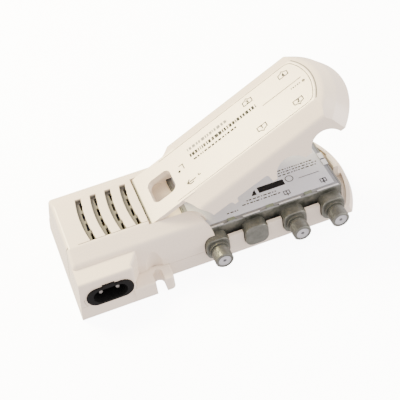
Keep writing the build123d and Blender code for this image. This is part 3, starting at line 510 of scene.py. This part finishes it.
def zinc_finish(name, stained, threaded):
    """Raw die-cast zinc with stains, darker in the threads or with painted light at the rim."""
    zinc = Finish(name, ZINC, 0.45, 0.75)
    where = zinc.millimetres()
    x, y, z = zinc.axes(where)
    stain = zinc.noise(where, 0.16, 4.0, 0.6).ramp(0.35, 0.7) * stained
    warm = zinc.noise(where, 0.09, 2.0).ramp(0.5, 0.75)
    metal = zinc.mix(stain, ZINC, ZINC_STAIN)
    metal = zinc.mix(warm * 0.5, metal, ZINC_WARM)
    skin = zinc.noise(where, 1.3, 5.0, 0.6)
    if threaded:
        turned = abs(y).above(THREAD_START) * abs(y).below(THREAD_END)
        metal = zinc.mix(turned * 0.5, metal, ZINC_TURNED)
    else:
        metal = zinc_rim(zinc, metal, x, z)
    zinc.use(Base_Color=metal, Roughness=skin.ramp(0.3, 0.7, 0.34, 0.56))
    zinc.bump(skin, 0.06, 0.5)
    return zinc


dress(zinc_finish("zinc_casting", 1.0, False), "amplifier_chassis")
outlet_zinc = zinc_finish("zinc_outlets", 0.5, True)
dress(outlet_zinc, "outlet_barrels", "blank_bosses")

TIN = (0.22, 0.235, 0.25)
TIN_BRIGHT = (0.34, 0.36, 0.38)
tin = Finish("tinned_sheet", TIN, 0.4, 0.9)
tin_skin = tin.noise(tin.millimetres(), 0.4, 4.0)
tin.use(Base_Color=tin.mix(tin_skin, TIN, TIN_BRIGHT))
dress(tin, "shield_cover")
print("cast and sheet metal done")

# %% [markdown]
# Each outlet has a 3/8 inch thread with 32 turns to the inch. The drawing
# leaves it smooth. A bump would shade it, but its outline would stay straight,
# so a real one is wound around it here: a low three-sided ridge on a helix,
# closed at both ends, that rises and fades within its first and last quarter
# turn.

# %% Threads on the outlets
OUTLETS = ((74.3, -1), (115.7, -1), (136.4, -1), (115.7, 1), (136.4, 1))
OUTLET_HEIGHT = 9.2
THREAD_PITCH = 25.4 / 32
THREAD_ROOT = 4.64
THREAD_CREST = 25.4 * 3 / 16
THREAD_STEPS = 40
RUN_OUT_STEPS = THREAD_STEPS / 4
HALF_FLANK = 0.36 * THREAD_PITCH
LEAST_RISE = 0.02


def wind_thread(bm, x, side):
    """One helical ridge around an outlet's barrel."""
    turns = (THREAD_END - THREAD_START) / THREAD_PITCH - 1
    count = int(turns * THREAD_STEPS)
    rings = []
    for i in range(count + 1):
        angle = 2 * pi * i / THREAD_STEPS
        y = THREAD_START + THREAD_PITCH * (0.5 + i / THREAD_STEPS)
        rise = min(1.0, i / RUN_OUT_STEPS, (count - i) / RUN_OUT_STEPS)
        foot = THREAD_ROOT + LEAST_RISE
        crest = foot + (THREAD_CREST - foot) * rise
        row = []
        for shift, radius in ((-HALF_FLANK, THREAD_ROOT), (0.0, crest), (HALF_FLANK, THREAD_ROOT)):
            across = x + radius * cos(angle)
            up = OUTLET_HEIGHT + radius * sin(angle)
            row.append(bm.verts.new(place(across, side * (y + shift), up)))
        rings.append(row)
    for a, b in zip(rings, rings[1:]):
        for k in range(3):
            bm.faces.new((a[k], b[k], b[(k + 1) % 3], a[(k + 1) % 3]))
    bm.faces.new(rings[0])
    bm.faces.new(rings[-1][::-1])


thread_mesh = bpy.data.meshes.new("outlet_threads")
bm = bmesh.new()
for x, side in OUTLETS:
    wind_thread(bm, x, side)
bmesh.ops.recalc_face_normals(bm, faces=bm.faces)
bm.to_mesh(thread_mesh)
bm.free()
threads = bpy.data.objects.new("outlet_threads", thread_mesh)
bpy.context.scene.collection.objects.link(threads)
thread_mesh.materials.append(outlet_zinc.material)
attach(threads, "case")
print("threads:", len(thread_mesh.polygons), "faces")

# %% [markdown]
# The small pieces each get a plain finish of their own kind. Each call gives
# the finish's name, two near colours that it wanders between, its roughness
# and, for a metal, how metallic it is. Then come the pieces that wear it.

# %% Small pieces
def plain_finish(name, colour, other, roughness, metallic=0.0, specular=0.3):
    """A finish that wanders between two near colours."""
    made = Finish(name, colour, roughness, metallic)
    wander = made.noise(made.millimetres(), 0.5, 3.0)
    made.use(Base_Color=made.mix(wander, colour, other))
    made.use(Roughness=wander.ramp(0.2, 0.8, roughness * 0.85, roughness * 1.15))
    made.bump(wander, 0.01, 0.4)
    if not metallic:
        made.shader.inputs["Specular IOR Level"].default_value = specular
    return made


dress(plain_finish("inlet_black", (0.007, 0.007, 0.007), (0.012, 0.012, 0.012), 0.25,
                   specular=0.04), "mains_inlet")
dress(plain_finish("black_plastic", (0.008, 0.008, 0.009), (0.014, 0.014, 0.015), 0.3),
      "bridge_rectifier", "control_chip", "transformer_bobbin", "amplifier_chip")
dress(plain_finish("pin_nickel", (0.20, 0.195, 0.18), (0.26, 0.25, 0.23), 0.3, 1.0), "inlet_pins")
dress(plain_finish("nickel", (0.62, 0.60, 0.55), (0.72, 0.70, 0.66), 0.22, 1.0),
      "fuse_caps", "centre_contacts")
dress(plain_finish("steel", (0.5, 0.5, 0.5), (0.62, 0.62, 0.60), 0.3, 1.0),
      "hinge_pin", "cover_screws", "chassis_screws")
dress(plain_finish("white_insulator", (0.47, 0.485, 0.50), (0.39, 0.40, 0.405), 0.4),
      "connector_insulators", "feedthrough", "gain_rotor")
dress(plain_finish("grey_label", (0.54, 0.567, 0.61), (0.49, 0.514, 0.555), 0.4),
      "chassis_label")
dress(plain_finish("brown_sleeve", (0.20, 0.09, 0.04), (0.24, 0.11, 0.05), 0.4), "inlet_leads")
dress(plain_finish("paper_board", (0.48, 0.30, 0.13), (0.40, 0.25, 0.10), 0.6), "power_board")
dress(plain_finish("clear_glass", (0.8, 0.85, 0.85), (0.75, 0.8, 0.8), 0.1), "fuse_glass")
dress(plain_finish("yellow_case", (0.72, 0.50, 0.06), (0.66, 0.45, 0.05), 0.3), "suppressor")
dress(plain_finish("dark_sleeve", (0.03, 0.035, 0.06), (0.05, 0.05, 0.08), 0.3),
      "bulk_capacitor", "output_capacitors")
dress(plain_finish("ferrite", (0.04, 0.04, 0.045), (0.06, 0.06, 0.06), 0.6),
      "transformer_core", "splitter_cores")
dress(plain_finish("taped_copper", (0.6, 0.42, 0.08), (0.5, 0.3, 0.06), 0.35),
      "transformer_winding", "supply_choke")
dress(plain_finish("red_sleeve", (0.45, 0.03, 0.02), (0.5, 0.04, 0.03), 0.4), "dc_lead")
dress(plain_finish("green_board", (0.03, 0.16, 0.07), (0.04, 0.2, 0.09), 0.45),
      "amplifier_board")
dress(plain_finish("ceramic", (0.35, 0.26, 0.18), (0.42, 0.33, 0.24), 0.5), "chip_capacitors")
dress(plain_finish("blue_case", (0.03, 0.10, 0.38), (0.04, 0.12, 0.42), 0.35), "gain_body")
print("small pieces done")

# %% [markdown]
# No moulded or cast edge is knife sharp: the mould's own edges are worn, and
# the plastic shrinks away from them. A narrow bevel on every sharp edge
# catches the light as a thin line, which the eye takes as solid plastic. The
# modifier leaves the drawing's faces where they are.

# %% Soft edges
SOFT_EDGES = (
    # piece, width in millimetres
    ("base_shell", 0.35), ("power_cover", 0.3), ("lid", 0.3),
    ("amplifier_chassis", 0.2), ("mains_inlet", 0.25),
)
SHARP_FROM = radians(40)


def soften(name, width_mm):
    """A narrow bevel along the sharp edges of a CAD node."""
    bevel = NODES[name].modifiers.new("soft_edges", "BEVEL")
    bevel.width = width_mm * MM
    bevel.segments = 2
    bevel.limit_method = "ANGLE"
    bevel.angle_limit = SHARP_FROM


for name, width in SOFT_EDGES:
    soften(name, width)
print("soft edges on", [n for n in NODES if NODES[n].modifiers])

# %% [markdown]
# The prints are thin ink on flat faces, so each one is a set of strokes: a
# stroke is a narrow quad between two points, and its ends are pushed out by
# half its width so that corners close. Each stroke lies a hair higher than
# the one before, so that two that cross don't flicker. A texture could show
# the same, but strokes stay sharp from near by. The prints are plain numbers,
# arrows, lines and rows of short bars.

# %% Ink
INK_LIFT = 0.03
STROKE_LIFT = 0.0004
DIGIT_WIDTH = 0.6
SHORTEST_BAR = 0.5
LONGEST_BAR = 1.9
SMALLEST_GAP = 0.45
LARGEST_GAP = 0.8
DIGITS = {
    1: [(0.2, 0.8), (0.5, 1.0), (0.5, 0.0)],
    2: [(0.1, 0.85), (0.35, 1.0), (0.65, 1.0), (0.85, 0.8), (0.8, 0.6), (0.1, 0.0), (0.9, 0.0)],
    3: [(0.15, 1.0), (0.85, 1.0), (0.45, 0.6), (0.75, 0.55), (0.9, 0.3), (0.7, 0.0),
        (0.3, 0.0), (0.1, 0.15)],
    4: [(0.7, 0.0), (0.7, 1.0), (0.1, 0.3), (0.95, 0.3)],
}


def stroke_corners(start, end, width):
    """The four corners of one stroke, drawn in plan."""
    a = Vector(start)
    b = Vector(end)
    along = (b - a).normalized() * (width / 2)
    aside = Vector((-along.y, along.x))
    return [a - along - aside, b + along - aside, b + along + aside, a - along + aside]


def strokes(points, width):
    """The strokes along a row of points."""
    return [stroke_corners(points[i], points[i + 1], width) for i in range(len(points) - 1)]


def digit(number, x, y, height, width):
    """A plain number whose lower left corner is at x, y."""
    row = DIGITS[number]
    return strokes([(x + u * height * DIGIT_WIDTH, y + v * height) for u, v in row], width)


def ring_points(x, y, radius, count):
    """Points round a circle, closed."""
    angles = [2 * pi * i / count for i in range(count + 1)]
    return [(x + radius * cos(a), y + radius * sin(a)) for a in angles]


def ink_piece(name, faces, height, finish, body, turn=None):
    """One flat piece of ink at a height, which rides on a body."""
    mesh = bpy.data.meshes.new(name)
    bm = bmesh.new()
    for layer, corners in enumerate(faces):
        z = height + INK_LIFT + layer * STROKE_LIFT
        bm.faces.new([bm.verts.new(place(c[0], c[1], z)) for c in corners])
    bm.to_mesh(mesh)
    bm.free()
    if turn is not None:
        mesh.transform(turn)
    piece = bpy.data.objects.new(name, mesh)
    bpy.context.scene.collection.objects.link(piece)
    mesh.materials.append(finish.material)
    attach(piece, body)
    print(name + ":", len(faces), "strokes")


def ink_finish(name, colour, other):
    """Matt ink that is a little worn."""
    made = Finish(name, colour, 0.6)
    worn = made.noise(made.millimetres(), 1.5, 3.0)
    made.use(Base_Color=made.mix(worn.ramp(0.4, 0.7), colour, other))
    made.shader.inputs["Specular IOR Level"].default_value = 0.1
    return made


ink = ink_finish("ink_grey", (0.006, 0.006, 0.006), (0.02, 0.019, 0.018))
soft_ink = ink_finish("ink_soft", (0.018, 0.020, 0.020), (0.042, 0.046, 0.046))
pale_ink = ink_finish("ink_pale", (0.20, 0.20, 0.19), (0.28, 0.28, 0.26))
black_ink = ink_finish("ink_black", (0.003, 0.003, 0.003), (0.006, 0.006, 0.006))
random_length = Random(7)


def bar(x0, x1, y, width):
    """A rectangle along x, from x0 to x1, with its middle at y."""
    low = y - width / 2
    high = y + width / 2
    return [(x0, low), (x1, low), (x1, high), (x0, high)]


def dashes(x0, x1, y, width):
    """A row of short bars of random length."""
    faces = []
    x = x0
    while x < x1:
        end = min(x1, x + random_length.uniform(SHORTEST_BAR, LONGEST_BAR))
        faces.append(bar(x, end, y, width))
        x = end + random_length.uniform(SMALLEST_GAP, LARGEST_GAP)
    return faces


print("ink ready")

# %% [markdown]
# On the lid, four outlets have a tag: a small outline, like a shield, whose
# point is on the outlet's side, with a number in it. A line runs between the
# tags, and beside the window stand a dot, a bent line, an arrow and a small
# mark for the gain control. Three rows of bars stand in the middle of the
# field, and one short row near the nose.

# %% Prints on the lid
TAGS = (
    # number, x, y, the side its point is on
    (1, 118.1, -9.8, -1), (2, 139.4, -10.4, -1), (3, 118.4, 10.6, 1), (4, 140.2, 10.4, 1),
)
TAG_LINE = 0.5
TAG_HALF_WIDTH = 2.6
TAG_FOOT = 1.5
TAG_CORNER = 0.9
TAG_SHOULDER_WIDTH = 0.9
TAG_SHOULDER = 1.4
TAG_POINT = 2.3
TAG_DIGIT_LEFT = 0.5
TAG_DIGIT_HEIGHT = 1.8
TAG_DIGIT_DROP = {1: 1.1, -1: 0.5}
TAG_DIGIT_LINE = 0.55
MIDDLE_LINE = ([(124.0, 1.6), (146.5, 1.6)], 0.4)
FIELD_ROWS = ((80.0, 121.0, 4.8, 2.2), (81.0, 108.0, 1.3, 1.1))
TOP_ROW = (80.0, 105.0, 9.0, 1.9)
NOSE_ROW = (139.5, 145.0, -1.2, 0.8)
NOSE_RING = (ring_points(146.8, -1.4, 0.5, 12), 0.5)
GAIN_MARKS = (
    # points, line width
    (ring_points(71.6, 0.4, 0.4, 12), 0.6),
    ([(72.6, 3.6), (74.6, 3.6), (74.6, 0.4)], 0.5),
    ([(77.4, -9.6), (72.4, -9.6), (74.0, -8.2)], 0.55),
    ([(72.4, -9.6), (74.0, -11.0), (75.8, -10.8)], 0.55),
    ([(79.6, -8.4), (79.6, -9.4), (80.6, -9.4)], 0.45),
)


def tag(number, x, y, side):
    """A tag's outline with its point on the outlet's side, and its number."""
    foot = y - side * TAG_FOOT
    corner = y + side * TAG_CORNER
    shoulder = y + side * TAG_SHOULDER
    outline = [
        (x - TAG_HALF_WIDTH, foot), (x + TAG_HALF_WIDTH, foot),
        (x + TAG_HALF_WIDTH, corner), (x + TAG_SHOULDER_WIDTH, shoulder),
        (x, y + side * TAG_POINT),
        (x - TAG_SHOULDER_WIDTH, shoulder), (x - TAG_HALF_WIDTH, corner),
        (x - TAG_HALF_WIDTH, foot),
    ]
    left = x - TAG_DIGIT_LEFT
    low = y - TAG_DIGIT_DROP[side]
    faces = strokes(outline, TAG_LINE)
    return faces + digit(number, left, low, TAG_DIGIT_HEIGHT, TAG_DIGIT_LINE)


def lid_prints():
    """All the darker ink on the lid."""
    faces = []
    for row in TAGS:
        faces += tag(*row)
    faces += strokes(*MIDDLE_LINE)
    for row in FIELD_ROWS:
        faces += dashes(*row)
    faces += strokes(*NOSE_RING)
    faces += dashes(*NOSE_ROW)
    for points, width in GAIN_MARKS:
        faces += strokes(points, width)
    return faces


ink_piece("lid_print", lid_prints(), CASE_HEIGHT, soft_ink, "lid", open_turn)
ink_piece("lid_title", dashes(*TOP_ROW), CASE_HEIGHT, pale_ink, "lid", open_turn)

# %% [markdown]
# The label on the shield carries a bare black block, a wedge, an open ring,
# a line and rows of short bars. Bars of random length can't be read as
# anything, but look like print from where the camera stands. Beside four
# outlets is a small box with a number.

# %% Prints on the label
LABEL_TOP = 18.35
BAR_HEIGHT = 0.7
LABEL_ROWS = (
    # y, start x, end x
    (-2.4, 118.0, 137.0), (-4.2, 117.5, 139.0), (-6.0, 117.0, 138.0),
    (-14.9, 96.0, 112.0), (-16.9, 93.0, 114.0), (-18.9, 84.0, 90.0),
    (3.0, 76.0, 112.0), (6.0, 76.0, 104.0), (9.0, 76.0, 108.0),
    (12.0, 76.0, 98.0), (6.0, 118.0, 138.0), (9.0, 118.0, 134.0),
)
LABEL_RING = (ring_points(121.4, -9.8, 2.0, 28), 0.4)
LABEL_LINE = ([(126.0, -11.6), (137.0, -11.6)], 0.35)
MARKERS = ((1, 116.6, -19.4), (2, 136.6, -19.4), (3, 116.6, 17.2), (4, 136.6, 17.2))
MARKER_HALF_WIDTH = 1.5
MARKER_HEIGHT = 2.4
MARKER_STEM = 0.9
MARKER_LINE = 0.4
STEM_LINE = 0.45
MARKER_DIGIT_LEFT = 0.45
MARKER_DIGIT_UP = 0.5
MARKER_DIGIT_HEIGHT = 1.45
BLACK_BLOCK = [(104.0, -12.6), (118.2, -12.6), (118.2, -8.6), (104.0, -8.6)]
BLACK_WEDGE = [(99.6, -13.0), (102.4, -13.0), (102.4, -9.4), (101.2, -10.6)]


def marker(number, x, y):
    """A small box with a number, and a stem below it."""
    left = x - MARKER_HALF_WIDTH
    right = x + MARKER_HALF_WIDTH
    top = y + MARKER_HEIGHT
    faces = strokes([(left, y), (left, top), (right, top), (right, y), (left, y)], MARKER_LINE)
    faces += strokes([(x, y), (x, y - MARKER_STEM)], STEM_LINE)
    digit_x = x - MARKER_DIGIT_LEFT
    digit_y = y + MARKER_DIGIT_UP
    return faces + digit(number, digit_x, digit_y, MARKER_DIGIT_HEIGHT, MARKER_LINE)


def label_prints():
    """The grey ink on the label."""
    faces = []
    for y, x0, x1 in LABEL_ROWS:
        faces += dashes(x0, x1, y, BAR_HEIGHT)
    faces += strokes(*LABEL_RING)
    faces += strokes(*LABEL_LINE)
    for row in MARKERS:
        faces += marker(*row)
    return faces


ink_piece("label_print", label_prints(), LABEL_TOP, ink, "case")
ink_piece("label_blocks", [BLACK_BLOCK, BLACK_WEDGE], LABEL_TOP, black_ink, "case")
